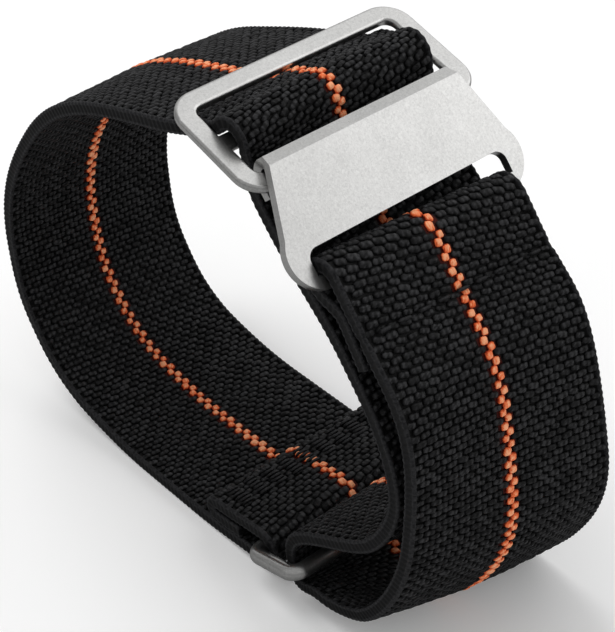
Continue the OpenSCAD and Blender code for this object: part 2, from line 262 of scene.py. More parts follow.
# %% [markdown]
# ## The light
# A bright white sky does most of the lighting. One lamp hangs high on the far left, so that the
# shadow falls to the near right, and two weak ones fill in from behind and from the right. Lamps
# make hard spots in satin steel, so the steel doesn't see them. It mirrors a sky of its own, which
# is darker low down, on one side and on the camera's side, and brighter in one patch. That gives
# the bars a dark and a bright edge, as the dark room and the lamps do on a real table.

# %% Lamps and sky
LAMP_DISTANCE = 1000
# Each lamp: name, azimuth, elevation, size, brightness.
LAMPS = [("left softbox", 275, 60, 900, 2.1), ("top softbox", 195, 60, 1000, 0.25),
    ("far softbox", 124, 30, 800, 0.25)]
SKY_BRIGHTNESS = 0.6
SKY_MIRRORED = 1.1
HORIZON_SHADE = 0.3
HORIZON_TOP = 0.4
# Each patch of the mirrored sky: azimuth, elevation, where it begins and where it is full (1 is
# its middle, 0 is a right angle away from it), and how bright it is there.
SKY_PATCHES = [(255, 30, 0.6, 1.0, 0.5), (20, 0, -0.3, -0.05, 0.3), (150, 35, 0.88, 1.0, 1.3)]


def hang_lamp(name, azimuth, elevation, size, brightness):
    away = towards(azimuth, elevation)
    data = bpy.data.lights.new(name, "AREA")
    data.shape = "DISK"
    data.size = size * MM
    data.energy = brightness * math.pi * math.pi * (size * MM / 2) ** 2
    lamp = new_object(name, data)
    lamp.visible_glossy = False
    lamp.location = away * LAMP_DISTANCE * MM
    lamp.rotation_mode = "QUATERNION"
    lamp.rotation_quaternion = away.to_track_quat("Z", "Y")


def paint_sky():
    world = bpy.data.worlds.new("white sky")
    world.use_nodes = True
    tree = world.node_tree
    sky = tree.nodes["Background"]
    sky.inputs["Color"].default_value = (1, 1, 1, 1)
    way = add(tree, "ShaderNodeTexCoord", {})["Generated"]
    shade = passing(parts_of(tree, way)[2], 0.0, HORIZON_TOP, HORIZON_SHADE, 1.0)
    for azimuth, elevation, begins, full, level in SKY_PATCHES:
        feeds = {0: way, 1: towards(azimuth, elevation)}
        near = Amount(add(tree, "ShaderNodeVectorMath", feeds, operation="DOT_PRODUCT")["Value"])
        shade = shade * passing(near, begins, full, 1.0, level)
    in_mirror = Amount(add(tree, "ShaderNodeLightPath", {})["Is Glossy Ray"])
    feed(sky.inputs["Strength"], in_mirror * (shade * SKY_MIRRORED - SKY_BRIGHTNESS) + SKY_BRIGHTNESS)
    bpy.context.scene.world = world


bpy.context.scene.view_settings.view_transform = "Standard"
paint_sky()
for lamp in LAMPS:
    hang_lamp(*lamp)
print("stage is set with", len(LAMPS), "lamps")

# %% [markdown]
# ## The route of the webbing
# The real strap is one length of webbing, so the lesson keeps one route for all of it, in travel
# order: hem, tab, round the ring, up the left side, over the frame, down inside, round the ring's
# far bar, up outside, round the plate's bar, tab. A station is a place and a heading, and two
# stations are joined by a cubic curve. These are the construction's own stations.

# %% Sizes that the route needs
WEBBING_W = (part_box("left_run")[1].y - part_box("left_run")[0].y) / MM
WEBBING_T = 1.3
HALF_T = WEBBING_T / 2
WIRE_D = 1.5
FOLD_PLAY = 0.15
HEM_PLAY = 0.3
RING_TAB_LEN = 7
HEM_LEN = 3.6
HOOK_TAB_LEN = 7.6
HOOK_SEAM_INSET = 2.6
ROUTE_STEP = 0.12


def joint_place(name):
    joint = next(j for j in frame["joints"] if j["name"] == name)
    return Vector((joint["pos_m"][0], joint["pos_m"][2])) / MM


ring_at = joint_place("ring_swing")
frame_at = joint_place("frame_tip")
catch_at = joint_place("hook_lift")
left_x = cad_low.x / MM + HALF_T
right_x = cad_high.x / MM - HALF_T
print("ring", ring_at, "frame", frame_at, "catch bar", catch_at)


# %% Curves between stations
def along(heading):
    return Vector((math.cos(math.radians(heading)), math.sin(math.radians(heading))))


def left_of(heading):
    return along(heading + 90)


def curve(a, b):
    """The cubic curve from station a to station b, as (place, heading) samples."""
    p, q = Vector(a[:2]), Vector(b[:2])
    shortest = (b[2] - a[2] + 180) % 360 - 180
    turn = math.radians(max(abs(shortest), 1))
    handle = (q - p).length * (2 / 3) * math.tan(turn / 4) / math.sin(turn / 2)
    p1, p2 = p + along(a[2]) * handle, q - along(b[2]) * handle
    count = max(6, math.ceil((q - p).length / ROUTE_STEP))
    samples = []
    for k in range(count + 1):
        s = k / count
        r = 1 - s
        place = p * r**3 + p1 * 3 * s * r**2 + p2 * 3 * s**2 * r + q * s**3
        way = (p1 - p) * r**2 + (p2 - p1) * 2 * s * r + (q - p2) * s**2
        samples.append((place, math.degrees(math.atan2(way.y, way.x))))
    return samples


def route(stations):
    samples = []
    for a, b in zip(stations, stations[1:]):
        samples += curve(a, b)
    return samples


print("10 mm of curve has", len(curve((0, 0, 0), (10, 0, 0))), "samples")


# %% Arcs, and parts of a run
def arc(centre, radius, start, sweep):
    count = math.ceil(abs(math.radians(sweep)) * radius / ROUTE_STEP)
    turn = math.copysign(90, sweep)
    angles = [start + sweep * k / count for k in range(count + 1)]
    return [(centre + along(a) * radius, a + turn) for a in angles]


def turned_back(samples):
    return [(place, heading + 180) for place, heading in reversed(samples)]


def beside(samples, distance):
    return [(place + left_of(heading) * distance, heading) for place, heading in samples]


def length_of(samples):
    return sum((b[0] - a[0]).length for a, b in zip(samples, samples[1:]))


def part_of(samples, start, end):
    """The samples that lie between two lengths along a route."""
    kept, run = [], 0
    for a, b in zip(samples, samples[1:]):
        if start <= run <= end:
            kept.append(a)
        run += (b[0] - a[0]).length
    return kept


print("a turn of 180 degrees at 10 mm is", round(length_of(arc(Vector((0, 0)), 10, 0, 180)), 2), "mm long")

# %% Left run, from the ring along the floor and up to the frame
RING_ENTRY = 5
FOOT_X = -5
FOOT_LEN = 8
LEFT_WIDEST_Z = 17
ring_fold_r = WIRE_D / 2 + FOLD_PLAY + HALF_T
ring_start = ring_at - left_of(RING_ENTRY) * ring_fold_r
under_frame = (frame_at.x - 6, frame_at.y - 1.1, 17)
left_route = route([
    (*ring_start, 180 + RING_ENTRY),
    (FOOT_X + FOOT_LEN / 2, HALF_T, 180),
    (FOOT_X - FOOT_LEN / 2, HALF_T, 180),
    (left_x + 3.75, LEFT_WIDEST_Z - 9.5, 124),
    (left_x, LEFT_WIDEST_Z, 90),
    (left_x + 8.3, frame_at.y - 12.65, 49),
    (left_x + 13, frame_at.y - 8.45, 34),
    under_frame])
print("left run", round(length_of(left_route), 1), "mm")

# %% Ring tab with its hem, and the fold round the ring
hem_rise = 2 * WEBBING_T + HEM_PLAY
hem_r = HALF_T + HEM_PLAY / 2
under_hem = part_of(left_route, RING_TAB_LEN - HEM_LEN, RING_TAB_LEN)
hem_place, hem_heading = under_hem[-1]
tab_top = hem_place - left_of(hem_heading) * hem_rise
tab_start = ring_at + left_of(RING_ENTRY) * ring_fold_r
ring_tab = turned_back(
    curve((*tab_start, 180 + RING_ENTRY), (*tab_top, hem_heading))
    + arc(hem_place - left_of(hem_heading) * (hem_rise - hem_r), hem_r, hem_heading - 90, 180)
    + turned_back(beside(under_hem, -WEBBING_T)))
ring_fold = arc(ring_at, ring_fold_r, 90 + RING_ENTRY, -180)
print("ring end", round(length_of(ring_tab + ring_fold), 1), "mm")

# %% Over the frame, down inside and round the ring's far bar
THIN_BAR_W = 1.6
FRAME_T = 0.8
BAR_EDGE_R = 0.3
HUMP_START = 126
HUMP_UP = 0.15
HUMP_PLAY = 0.2
RING_TILT = 15
RING_LEN = 6.2
RIGHT_WIDEST_Z = 17.5
RUN_GAP = 1.05
TURN_PLAY = 0.35
bar_half = math.hypot(THIN_BAR_W / 2 - BAR_EDGE_R, FRAME_T / 2 - BAR_EDGE_R) + BAR_EDGE_R
hump_r = bar_half + HUMP_PLAY + HALF_T
hump_at = frame_at + Vector((0, HUMP_UP))
hump_first = hump_at + along(HUMP_START) * hump_r
frame_pass = (curve(under_frame, (*hump_first, HUMP_START - 90))
    + arc(hump_at, hump_r, HUMP_START, -HUMP_START))
ring_far_at = ring_at + along(RING_TILT) * RING_LEN
inner_x = right_x - WEBBING_T - RUN_GAP
turn_top = (ring_far_at.x + 2.4, ring_far_at.y + 5.2, -150)
inner_route = route([
    (hump_at.x + hump_r, hump_at.y, -90),
    (catch_at.x - 2.75, catch_at.y - 1.1, -84),
    (catch_at.x - 0.75, catch_at.y - 4.15, -46),
    (catch_at.x + 8.5, catch_at.y - 12.5, -47),
    (inner_x - 1.6, RIGHT_WIDEST_Z + 9.7, -62),
    (inner_x, RIGHT_WIDEST_Z + 3.8, -90),
    (inner_x - 1.1, RIGHT_WIDEST_Z - 0.2, -116),
    (inner_x - 4.3, RIGHT_WIDEST_Z - 4.3, -142),
    turn_top])
turn_left_x = ring_far_at.x - WIRE_D / 2 - FOLD_PLAY - TURN_PLAY - HALF_T
turn_end = (ring_far_at.x + 2, HALF_T, 0)
bottom_turn = route([turn_top, (turn_left_x, ring_far_at.y + 0.7, -90), turn_end])
print("inner run", round(length_of(inner_route + bottom_turn), 1), "mm")

# %% Outer run, the fold round the plate's bar, and the tab behind it
HOOK_TILT = -50.5
PLATE_T = 0.9
PLATE_REACH = 8.65
SEWN_BAR_W = 1.3
CHANNEL_PLAY = 0.3
HOOK_ENTRY = 128
TAB_SPREAD = 0.45
plate_mid = bar_half + CHANNEL_PLAY + PLATE_T / 2
sewn_at = catch_at + along(HOOK_TILT) * PLATE_REACH + left_of(HOOK_TILT) * plate_mid
hook_fold_r = math.hypot(SEWN_BAR_W / 2, PLATE_T / 2) + FOLD_PLAY / 2 + HALF_T
hook_last = sewn_at - left_of(HOOK_ENTRY) * hook_fold_r
outer_route = route([
    turn_end,
    (turn_end[0] + 1.5, HALF_T, 0),
    (right_x - 3.15, RIGHT_WIDEST_Z - 10.1, 60),
    (right_x, RIGHT_WIDEST_Z, 90),
    (right_x - 1.2, RIGHT_WIDEST_Z + 9.1, 104),
    (right_x - 3.8, RIGHT_WIDEST_Z + 15.2, 123),
    (*hook_last, HOOK_ENTRY)])
outer_len = length_of(outer_route)
hook_fold = arc(sewn_at, hook_fold_r, HOOK_ENTRY - 90, 180)
beside_tab = part_of(outer_route, outer_len - HOOK_TAB_LEN, outer_len - HOOK_TAB_LEN * TAB_SPREAD)
tab_flat = turned_back(beside(beside_tab, WEBBING_T))
tab_first = sewn_at * 2 - hook_last
hook_tab = curve((*tab_first, HOOK_ENTRY - 180), (*tab_flat[0][0], tab_flat[0][1])) + tab_flat
print("outer run", round(outer_len, 1), "mm, tab", round(length_of(hook_tab), 1), "mm")

# %% [markdown]
# ## How the soft loop leans
# The construction stands square, but a soft loop never does. In the photograph its left side
# bulges near the foot and leans in above it, its outer right side leans outwards, and the webbing
# swells as it climbs over the frame's bar. A table of heights and shifts bends the drawn route,
# so everything that is woven and sewn along it later leans with it.

# %% Leans and bulge
LEFT_LEAN = [(1, 0), (2.5, -0.9), (8, -0.45), (17, 1.0), (34, 0.3), (42, 0)]
OUTER_LEAN = [(0.7, 0), (4, 0.47), (8, 0.47), (18, 0.14), (30, 0.78), (40, 0)]
BULGE_BEGINS = -4.5
BULGE_FULLEST = -3.2
BULGE_ENDS = -0.9
BULGE_HEIGHT = 0.65


def eased(value, start, end):
    """0 at the start and 1 at the end, with a smooth passage between them."""
    s = min(max((value - start) / (end - start), 0), 1)
    return s * s * (3 - 2 * s)


def leaning(samples, table):
    """A run whose points are moved along X, by a table of heights and shifts."""
    moved = []
    for place, heading in samples:
        shift = table[0][1]
        for (z0, x0), (z1, x1) in zip(table, table[1:]):
            shift += (x1 - x0) * eased(place.y, z0, z1)
        moved.append((place + Vector((shift, 0)), heading))
    return moved


def bulging(samples, middle):
    """A run that swells upwards on one side of a bar."""
    moved = []
    for place, heading in samples:
        x = place.x - middle
        swell = min(eased(x, BULGE_BEGINS, BULGE_FULLEST), eased(x, BULGE_ENDS, BULGE_FULLEST))
        moved.append((place + Vector((0, BULGE_HEIGHT * swell)), heading))
    return moved


print("leans by up to", max(abs(x) for _, x in LEFT_LEAN + OUTER_LEAN), "mm")

# %% One path for the whole webbing
LEAST_STEP = 0.02
stretches = {
    "ring_tab": ring_tab, "ring_fold": ring_fold, "left_run": leaning(left_route, LEFT_LEAN),
    "frame_pass": bulging(frame_pass, frame_at.x), "inner_run": inner_route,
    "bottom_turn": bottom_turn, "outer_run": leaning(outer_route, OUTER_LEAN),
    "hook_fold": hook_fold, "hook_tab": hook_tab}
path_points = [ring_tab[0][0]]
starts_at = {}
webbing_len = 0
for name, samples in stretches.items():
    starts_at[name] = webbing_len
    for place, _ in samples:
        step = (place - path_points[-1]).length
        if step > LEAST_STEP:
            path_points.append(place)
            webbing_len += step


def draw_curve(name, places, closed=False):
    data = bpy.data.curves.new(name, "CURVE")
    data.dimensions = "3D"
    spline = data.splines.new("POLY")
    spline.points.add(len(places) - 1)
    for point, place in zip(spline.points, places):
        point.co = (*place, 1)
    spline.use_cyclic_u = closed
    return new_object(name, data)


path = draw_curve("webbing route", [(place.x * MM, 0, place.y * MM) for place in path_points])
print("webbing", round(webbing_len, 1), "mm in", len(path_points), "points;",
    {name: round(at, 1) for name, at in starts_at.items()})

# %% [markdown]
# ## Building with Geometry Nodes
# What repeats is built by Geometry Nodes: a tree takes sizes as named inputs, and one modifier
# runs it. The result is kept as a plain mesh, because a modifier's instances would be lost when
# the model is exported. Random values come from a point's number and a fixed seed, so every run
# gives the same strap.

# %% Helpers for Geometry Nodes
def new_tree(name, inputs):
    tree = bpy.data.node_groups.new(name, "GeometryNodeTree")
    tree.interface.new_socket("Geometry", in_out="OUTPUT", socket_type="NodeSocketGeometry")
    for label, kind, value in inputs:
        socket = tree.interface.new_socket(label, in_out="INPUT", socket_type="NodeSocket" + kind)
        if value is not None:
            socket.default_value = value
    given = tree.nodes.new("NodeGroupInput").outputs
    return tree, {socket.name: Amount(socket) for socket in given}


def end_tree(tree, geometry):
    tree.links.new(geometry, tree.nodes.new("NodeGroupOutput").inputs[0])


def run_tree(tree, name, values):
    """Runs a tree on an empty mesh and returns the result as a plain mesh object."""
    host = new_object(name, bpy.data.meshes.new(name))
    modifier = host.modifiers.new(tree.name, "NODES")
    modifier.node_group = tree
    for item in tree.interface.items_tree:
        if item.in_out == "INPUT" and item.name in values:
            modifier[item.identifier] = values[item.name]
    graph = bpy.context.evaluated_depsgraph_get()
    result = bpy.data.meshes.new_from_object(host.evaluated_get(graph))
    host.modifiers.remove(modifier)
    host.data = result
    result.name = name
    return host


def where(tree):
    return add(tree, "GeometryNodeInputPosition", {})[0]


def vector_of(tree, **parts):
    return add(tree, "ShaderNodeCombineXYZ", parts)[0]


def scaled(tree, vector, factor):
    return add(tree, "ShaderNodeVectorMath", {0: vector, "Scale": factor}, operation="SCALE")[0]


def together(tree, first, second):
    return add(tree, "ShaderNodeVectorMath", {0: first, 1: second}, operation="ADD")[0]


def shape_of(tree, socket):
    return add(tree, "GeometryNodeObjectInfo", {"Object": socket})["Geometry"]


def random_amount(tree, seed, low, high):
    feeds = {2: low, 3: high, "Seed": seed}
    return Amount(add(tree, "FunctionNodeRandomValue", feeds, data_type="FLOAT")[1])


print("Geometry Nodes helpers are ready")

# %% [markdown]
# ## Laying something flat along the route
# Weaving is easiest flat: X is the length along the webbing, Y runs across it and Z is the height
# above its middle. This tree then lays whatever it is given along the route, so a yarn that goes
# round a bar bends with it. A seam pulls the layers together, so the height shrinks beside it.
#
# Soft webbing doesn't lie square on its way either. In the photograph the far edge stands further
# right than the near one at the lower right corner, where the near edge is lifted too. Above it
# the outside is crowned across its width. The far edge droops on the left shoulder, the fold at
# the plate sags, and the hump is a little narrower, with edges that sink. The next values name
# these and a few lesser ones, as slopes across the width or in millimetres, and a table says where
# each one acts.

# %% How the webbing strays from a square lay
CORNER_SKEW = 0.21
TOP_SKEW = 0.03
LEFT_SKEW = -0.055
CORNER_LIFT = 0.2
FAR_DROOP = 0.07
FAR_BOW = 0.05
OUTER_CROWN = 0.5
HUMP_PINCH = 0.02
HUMP_SLIDE = 0.2
HUMP_SKEW = 0.05
HUMP_SINK = 0.6
SINK_BEGINS = 4
SINK_FULL = 10
INNER_PINCH = 0.05
FOLD_PINCH = 0.06
FOLD_SAG = 0.053
SAG_REACH = 8
# The fold sags down the slope of the plate, so it moves partly along X and partly down.
SAG_ALONG = 0.636
SAG_DOWN = 0.772
# Each stretch: the run that it is measured from, then where it begins, is full, fades and is gone.
STRETCHES = {
    "left side": ("left_run", 8, 26, 70, 90),
    "shoulder": ("left_run", 58, 76, 80, 92),
    "hump": ("frame_pass", -3, 4, 10, 24),
    "crest": ("frame_pass", 1.5, 4, 4.5, 7.5),
    "below hump": ("frame_pass", 5, 12, 22, 36),
    "corner": ("outer_run", -6, 2, 12, 38),
    "lifted corner": ("outer_run", -6, 2, 1, 15),
    "crowned": ("outer_run", 1, 7, 18, 32),
    "bowed": ("outer_run", 12, 24, 36, 46),
    "top": ("outer_run", 12, 38, 38, 47),
    "fold": ("outer_run", 37, 46)}
print("at the corner one edge is", round(CORNER_SKEW * WEBBING_W, 1), "mm ahead of the other")


# %% How far it strays
def on_stretch(x, run, begins, full, fades=None, gone=None):
    """1 on a stretch of the webbing and 0 off it, with smooth ends."""
    on = passing(x, (starts_at[run] + begins) * MM, (starts_at[run] + full) * MM)
    if fades is None:
        return on
    return on * (1.0 - passing(x, (starts_at[run] + fades) * MM, (starts_at[run] + gone) * MM))


def stray(tree, x, y):
    """How far a point of the soft webbing is moved from its square place."""
    on = {name: on_stretch(x, *stretch) for name, stretch in STRETCHES.items()}
    near_side = calc("MINIMUM", y, 0.0)
    far_side = calc("MAXIMUM", y, 0.0)
    outwards = y / (WEBBING_W / 2 * MM)
    skew = on["corner"] * CORNER_SKEW - on["top"] * TOP_SKEW + on["left side"] * LEFT_SKEW
    bow = far_side * (on["bowed"] * FAR_BOW - on["crest"] * HUMP_SKEW)
    crown = on["crowned"] * (OUTER_CROWN * MM) * (1.0 - outwards * outwards)
    sag = calc("MAXIMUM", y + SAG_REACH * MM, 0.0) * FOLD_SAG * on["fold"]
    slide = on["hump"] * (near_side * -HUMP_PINCH + HUMP_SLIDE * MM)
    pinch = near_side * on["below hump"] * INNER_PINCH + far_side * on["fold"] * FOLD_PINCH
    lift = near_side * on["lifted corner"] * -CORNER_LIFT
    to_edge = passing(calc("ABSOLUTE", y), SINK_BEGINS * MM, SINK_FULL * MM)
    sink = on["crest"] * to_edge * (HUMP_SINK * MM)
    droop = far_side * on["shoulder"] * FAR_DROOP
    return vector_of(tree, X=y * skew + sag * SAG_ALONG + bow + crown, Y=slide - pinch,
        Z=lift - sag * SAG_DOWN - sink - droop)


print(len(STRETCHES), "stretches stray from a square lay")

# %% Tree that lays flat work along the route
SEAM_REACH = 0.55
NO_SEAM = -1.0
LAYING_INPUTS = [("Route", "Object", None), ("Seam at", "Float", NO_SEAM), ("Seam pull", "Float", 0.0)]


def make_laying_tree():
    tree, given = new_tree("lay along route", [("Geometry", "Geometry", None)] + LAYING_INPUTS)
    x, y, z = parts_of(tree, where(tree))
    route_shape = shape_of(tree, given["Route"])
    sample = add(tree, "GeometryNodeSampleCurve",
        {"Curves": route_shape, "Length": x, "Curve Index": 0}, mode="LENGTH")
    feeds = {0: sample["Tangent"], 1: (0, 1, 0)}
    outward = add(tree, "ShaderNodeVectorMath", feeds, operation="CROSS_PRODUCT")[0]
    off_seam = (x - given["Seam at"]) / (SEAM_REACH * MM)
    at_seam = calc("EXPONENT", off_seam * off_seam * -1.0)
    height = z * (1.0 - at_seam * given["Seam pull"])
    square = together(tree, scaled(tree, outward, height), vector_of(tree, Y=y))
    moved = together(tree, square, stray(tree, x, y))
    final = together(tree, sample["Position"], moved)
    feeds = {"Geometry": given["Geometry"], "Position": final}
    end_tree(tree, add(tree, "GeometryNodeSetPosition", feeds)[0])
    return tree


laying_tree = make_laying_tree()


def finish_flat_work(tree, given, geometry):
    """Marks each point with its flat place in mm, lays the work along the route and finishes it."""
    feeds = {"Geometry": geometry, "Name": "yarn_way", "Value": scaled(tree, where(tree), 1 / MM)}
    marked = add(tree, "GeometryNodeStoreNamedAttribute", feeds, data_type="FLOAT_VECTOR")[0]
    laid = tree.nodes.new("GeometryNodeGroup")
    laid.node_tree = laying_tree
    feed(laid.inputs["Geometry"], marked)
    for name, _, _ in LAYING_INPUTS:
        feed(laid.inputs[name], given[name])
    feeds = {"Geometry": laid.outputs[0], "Material": given["Material"]}
    end_tree(tree, add(tree, "GeometryNodeSetMaterial", feeds)[0])


print(laying_tree.name, "has", len(laying_tree.nodes), "nodes")

# %% [markdown]
# ## The weave
# Elastic webbing of this kind is a plain weave: each lengthwise yarn goes over one crosswise yarn
# and under the next, and its neighbours do the opposite. What shows is only where a yarn comes
# to the surface, a plump float like a grain of rice. An image of a weave would look flat along
# the edges and bends, so each crossing of the weave gets a float with a shape, on one face or on
# the other in turn, like bricks. The two middle columns are the orange stripe. The rows run a
# little aslant, and no two floats lie or swell quite the same.

# %% One float of yarn
FLOAT_SIDES = 8
FLOAT_RINGS = [(1.0, 0.0), (0.95, 0.5), (0.68, 0.86)]
FLOAT_SQUARENESS = 0.55


def ring_faces(rings, sides):
    """The four-cornered faces between rings of points."""
    faces = []
    for ring in range(rings - 1):
        for k in range(sides):
            a, b = ring * sides + k, ring * sides + (k + 1) % sides
            faces.append((a, b, b + sides, a + sides))
    return faces


def new_shape(name, verts, faces, **marks):
    """A small mesh for a tree to copy, with values stored on its points."""
    mesh = bpy.data.meshes.new(name)
    mesh.from_pydata(verts, [], faces)
    for mark, values in marks.items():
        mesh.attributes.new(mark, "FLOAT", "POINT").data.foreach_set("value", values)
    mesh.shade_smooth()
    return new_object(name, mesh)


def make_float_shape():
    """A dome of unit size, flat underneath. Its lift is 0 at the foot and 1 on top."""
    verts = []
    for radius, height in FLOAT_RINGS:
        for k in range(FLOAT_SIDES):
            a = 2 * math.pi * (k + 0.5) / FLOAT_SIDES
            x, y = (math.copysign(abs(v) ** FLOAT_SQUARENESS, v) for v in (math.cos(a), math.sin(a)))
            verts.append((radius * x, radius * y, height))
    last, top = len(verts) - FLOAT_SIDES, len(verts)
    verts.append((0, 0, 1))
    faces = ring_faces(len(FLOAT_RINGS), FLOAT_SIDES)
    faces += [(last + k, last + (k + 1) % FLOAT_SIDES, top) for k in range(FLOAT_SIDES)]
    faces.append(tuple(reversed(range(FLOAT_SIDES))))
    return new_shape("yarn float", verts, faces, lift=[v[2] for v in verts], ply=[v[1] for v in verts])


float_shape = make_float_shape()
print("one float has", len(float_shape.data.polygons), "faces")

# %% Tree that weaves the floats
COLUMNS = 34
COLUMN_PITCH = 0.565
ROW_PITCH = 0.63
ROW_SLANT = 0.12
STRIPE_COLUMNS = 2
END_CLEAR = 0.4
FLOAT_LEN = 0.6
FLOAT_W = 1.14
FLOAT_FOOT = 0.33
FLOAT_RISE = 0.32
FLOAT_SLANT = 0.2
FLOAT_WANDER = ((-0.06, -0.05, -0.04), (0.06, 0.05, 0.02))
FLOAT_LEAN = 0.2
PLUMPNESS = (0.88, 1.1)
TOLERANCE = 0.1


def make_weaving_tree():
    tree, given = new_tree("weave floats", [
        ("Start", "Float", 0.0), ("Pitch", "Float", ROW_PITCH * MM), ("Last place", "Float", 1.0),
        ("First row", "Int", 0), ("Rows", "Int", 10), ("Stripe only", "Bool", False),
        ("Float", "Object", None), ("Float length", "Float", FLOAT_LEN * MM),
        ("Float width", "Float", FLOAT_W * MM), ("Closeness", "Float", 1.0),
        ("Foot", "Float", FLOAT_FOOT * MM), ("Rise", "Float", FLOAT_RISE * MM),
        ("Slant", "Float", FLOAT_SLANT), ("Material", "Material", None),
        ("Seed", "Int", 3)] + LAYING_INPUTS)
    seed = given["Seed"]
    points = add(tree, "GeometryNodePoints", {"Count": given["Rows"] * COLUMNS})[0]
    index = Amount(add(tree, "GeometryNodeInputIndex", {})[0])
    step = calc("FLOOR", index / COLUMNS)
    row = step + given["First row"]
    column = calc("MODULO", index, COLUMNS)
    across = column - (COLUMNS - 1) / 2
    on_back = calc("MODULO", row + column, 2.0)
    face = 1.0 - on_back * 2.0
    in_stripe = calc("LESS_THAN", calc("ABSOLUTE", across), STRIPE_COLUMNS / 2)
    in_colour = calc("COMPARE", in_stripe, given["Stripe only"], TOLERANCE)
    wander = {0: FLOAT_WANDER[0], 1: FLOAT_WANDER[1], "Seed": seed}
    jitter = add(tree, "FunctionNodeRandomValue", wander, data_type="FLOAT_VECTOR")[0]
    shift_x, shift_y, _ = parts_of(tree, jitter)
    y = (across + shift_y) * (given["Closeness"] * (COLUMN_PITCH * MM))
    x = (step + 0.5 + shift_x) * given["Pitch"] + given["Start"] - y * ROW_SLANT
    on_webbing = calc("GREATER_THAN", x, END_CLEAR * MM) * calc("LESS_THAN", x, given["Last place"])
    flat = vector_of(tree, X=x, Y=y, Z=face * given["Foot"])
    placed = add(tree, "GeometryNodeSetPosition", {"Geometry": points, "Position": flat})[0]
    slant = random_amount(tree, seed + 1, -FLOAT_LEAN, FLOAT_LEAN) + given["Slant"]
    size = vector_of(tree, X=given["Float length"] * 0.5, Y=given["Float width"] * 0.5, Z=given["Rise"])
    floats = add(tree, "GeometryNodeInstanceOnPoints", {
        "Points": placed, "Selection": in_colour * on_webbing, "Instance": shape_of(tree, given["Float"]),
        "Rotation": vector_of(tree, X=on_back * math.pi, Z=slant),
        "Scale": scaled(tree, size, random_amount(tree, seed + 2, *PLUMPNESS))})[0]
    shade = {"Geometry": floats, "Name": "shade", "Value": random_amount(tree, seed + 3, 0.0, 1.0)}
    shaded = add(tree, "GeometryNodeStoreNamedAttribute", shade, data_type="FLOAT", domain="INSTANCE")[0]
    finish_flat_work(tree, given, add(tree, "GeometryNodeRealizeInstances", {0: shaded})[0])
    return tree


weaving_tree = make_weaving_tree()
print(weaving_tree.name, "has", len(weaving_tree.nodes), "nodes")

# %% [markdown]
# ## The ground and the woven edges
# Between the floats the eye falls on yarn below, so a thin sheet lies under them; its colour is
# painted shade, darker than the yarn's own tone. At both sides the crosswise yarn turns back round
# a firm edge: a flat side face between two small cords.
# One section holds the sheet and both edges, and it is swept along the webbing, with a fine rib
# wherever a crosswise yarn turns. The sheet has points across its width as well, because it has
# to bow and sag with the floats that lie on it, or it would cover them.

# %% Section of the webbing under its floats
CORD_R = 0.19
CORD_Y = WEBBING_W / 2 - CORD_R
CORD_SUNK = 0.03
CORD_Z = HALF_T - CORD_R - CORD_SUNK
CORD_INSIDE = 200
CORD_OUTSIDE = -25
CORD_STEPS = 9
FLAT_STEPS = 14
EDGE_START = CORD_Y - CORD_R


def draw_section():
    upper = []
    for k in range(CORD_STEPS + 1):
        a = math.radians(CORD_INSIDE + (CORD_OUTSIDE - CORD_INSIDE) * k / CORD_STEPS)
        upper.append((CORD_Y + CORD_R * math.cos(a), CORD_Z + CORD_R * math.sin(a)))
    edge = upper + [(y, -z) for y, z in reversed(upper)]
    flat_y, flat_z = upper[0]
    flat = [(flat_y - 2 * flat_y * k / FLAT_STEPS, -flat_z) for k in range(1, FLAT_STEPS)]
    half = edge + flat
    outline = half + [(-y, -z) for y, z in half]
    places = [(y * MM, z * MM, 0) for y, z in reversed(outline)]
    return draw_curve("webbing section", places, closed=True)


section = draw_section()
print("section has", len(section.data.splines[0].points), "points")

# %% Tree that sweeps the ground
EDGE_RIB = 0.03
STEPS_PER_RIB = 5
EDGE_BLEND = 0.08
RIB_SLANT = 0.25


def make_ground_tree():
    tree, given = new_tree("sweep ground", [
        ("Start", "Float", 0.0), ("End", "Float", 10 * MM), ("Section", "Object", None),
        ("Rib height", "Float", EDGE_RIB * MM), ("Material", "Material", None)] + LAYING_INPUTS)
    ends = {"Start": vector_of(tree, X=given["Start"]), "End": vector_of(tree, X=given["End"])}
    line = add(tree, "GeometryNodeCurvePrimitiveLine", ends)[0]
    steps = calc("CEIL", (given["End"] - given["Start"]) / (ROW_PITCH / STEPS_PER_RIB * MM))
    fine = add(tree, "GeometryNodeResampleCurve", {"Curve": line, "Count": steps + 1.0})[0]
    sweep = {"Curve": fine, "Profile Curve": shape_of(tree, given["Section"]), "Fill Caps": True}
    swept = add(tree, "GeometryNodeCurveToMesh", sweep)[0]
    x, y, z = parts_of(tree, where(tree))
    beyond = (calc("ABSOLUTE", y) - EDGE_START * MM) / (EDGE_BLEND * MM)
    on_edge = calc("MINIMUM", calc("MAXIMUM", beyond, 0.0), 1.0)
    turns = x / (ROW_PITCH * MM) + z * (RIB_SLANT / (HALF_T * MM))
    height = calc("SINE", turns * (2 * math.pi)) * on_edge * given["Rib height"]
    out = scaled(tree, add(tree, "GeometryNodeInputNormal", {})[0], height)
    ribbed = add(tree, "GeometryNodeSetPosition", {"Geometry": swept, "Offset": out})[0]
    finish_flat_work(tree, given, add(tree, "GeometryNodeSetShadeSmooth", {0: ribbed})[0])
    return tree


ground_tree = make_ground_tree()
print(ground_tree.name, "has", len(ground_tree.nodes), "nodes")

# %% [markdown]
# ## Yarn finishes
# Black nylon is never quite black: each float is a bundle of fine filaments. The colour follows
# the stored lift, as painted light: dark at the foot where the yarn dives, as painted shade, and
# light along its back, as a painted highlight. The filaments are a noise that is stretched along
# the yarn and leans with its twist; in the colour they are fibre tone and small painted glints.
# Each float also has a tone of its own at random, and a black one is darker along its middle, as
# painted shade in the furrow between its two strands.

# %% Helpers for finishes
FILAMENT_SCALE = (6.0, 2.6, 4.0)


def stored(tree, name, output="Fac"):
    return add(tree, "ShaderNodeAttribute", {}, attribute_name=name, attribute_type="GEOMETRY")[output]


